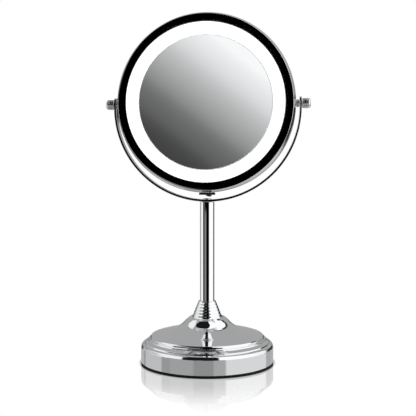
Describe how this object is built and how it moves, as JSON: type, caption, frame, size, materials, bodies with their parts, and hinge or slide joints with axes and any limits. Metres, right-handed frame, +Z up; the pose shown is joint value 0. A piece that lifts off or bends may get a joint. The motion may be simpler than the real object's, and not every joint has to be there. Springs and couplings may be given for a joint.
{
  "type": "lighted vanity mirror",
  "caption": "Free-standing double-sided round vanity mirror with a light ring on each face, tilting between thumb knobs in a U-shaped yoke on a post and stepped round base.",
  "frame": {"origin": "centre of the foot pad's underside, on the surface it stands on", "axes": "+Z up along the post, -Y the way the flat mirror faces, X along the tilt axis from the left knob to the right knob"},
  "size_m": [0.2274, 0.1478, 0.3847],
  "materials": {
    "chrome": "polished chrome plate",
    "zinc_steel": "zinc plated",
    "weight_iron": "as cast",
    "foot_rubber": "matte",
    "black_plastic": "fine matte",
    "white_plastic": "satin",
    "frosted_acrylic": "frosted, lit from behind",
    "mirror_glass": "silvered glass",
    "light_board": "white solder mask",
    "battery_jacket": "plain shrink sleeve",
    "red_wire": "insulation",
    "black_wire": "insulation"
  },
  "bodies": {
    "stand": {"foot_pad": "foot_rubber", "base_shell": "chrome", "base_weight": "weight_iron", "base_washer": "zinc_steel", "base_nut": "zinc_steel", "tie_rod": "zinc_steel", "collar": "chrome", "post_tube": "chrome", "post_plug": "zinc_steel", "yoke_screw": "zinc_steel"},
    "yoke": {"yoke": "chrome"},
    "head": {"head_band": "chrome", "front_bezel": "chrome", "front_diffuser": "frosted_acrylic", "front_mirror": "mirror_glass", "inner_chassis": "white_plastic", "front_light_board": "light_board", "rear_light_board": "light_board", "battery_holder": "black_plastic", "battery_1": "battery_jacket", "battery_2": "battery_jacket", "battery_3": "battery_jacket", "battery_4": "battery_jacket", "contact_plate_1": "zinc_steel", "contact_plate_2": "zinc_steel", "contact_plate_3": "zinc_steel", "contact_plate_4": "zinc_steel", "contact_spring_1": "zinc_steel", "contact_spring_2": "zinc_steel", "contact_spring_3": "zinc_steel", "contact_spring_4": "zinc_steel", "battery_lead_red": "red_wire", "battery_lead_black": "black_wire", "switch_lead": "red_wire", "switch_body": "black_plastic", "switch_plate": "black_plastic", "switch_screw_left": "zinc_steel", "switch_screw_right": "zinc_steel", "left_stud": "zinc_steel", "right_stud": "zinc_steel", "left_bush": "chrome", "right_bush": "chrome"},
    "rear_cover": {"rear_bezel": "chrome", "rear_diffuser": "frosted_acrylic", "rear_mirror": "mirror_glass", "rear_carrier": "white_plastic"},
    "left_knob": {"left_knob": "chrome"},
    "right_knob": {"right_knob": "chrome"},
    "switch_slider": {"switch_slider": "black_plastic"}
  },
  "joints": [
    {"name": "yoke_swivel", "type": "hinge", "parent": "stand", "child": "yoke", "pos_m": [0, 0, 0.1787], "axis": [0, 0, 1], "continuous": true},
    {"name": "head_tilt", "type": "hinge", "parent": "yoke", "child": "head", "pos_m": [0, 0, 0.287], "axis": [1, 0, 0], "continuous": true},
    {"name": "rear_cover_pull", "type": "slide", "parent": "head", "child": "rear_cover", "axis": [0, 1, 0], "range_m": [0, 0.03]},
    {"name": "switch_slide", "type": "slide", "parent": "head", "child": "switch_slider", "axis": [1, 0, 0], "range_m": [-0.0032, 0]},
    {"name": "left_knob_turn", "type": "hinge", "parent": "head", "child": "left_knob", "pos_m": [-0.104, 0, 0.287], "axis": [-1, 0, 0], "continuous": true},
    {"name": "right_knob_turn", "type": "hinge", "parent": "head", "child": "right_knob", "pos_m": [0.104, 0, 0.287], "axis": [1, 0, 0], "continuous": true}
  ]
}
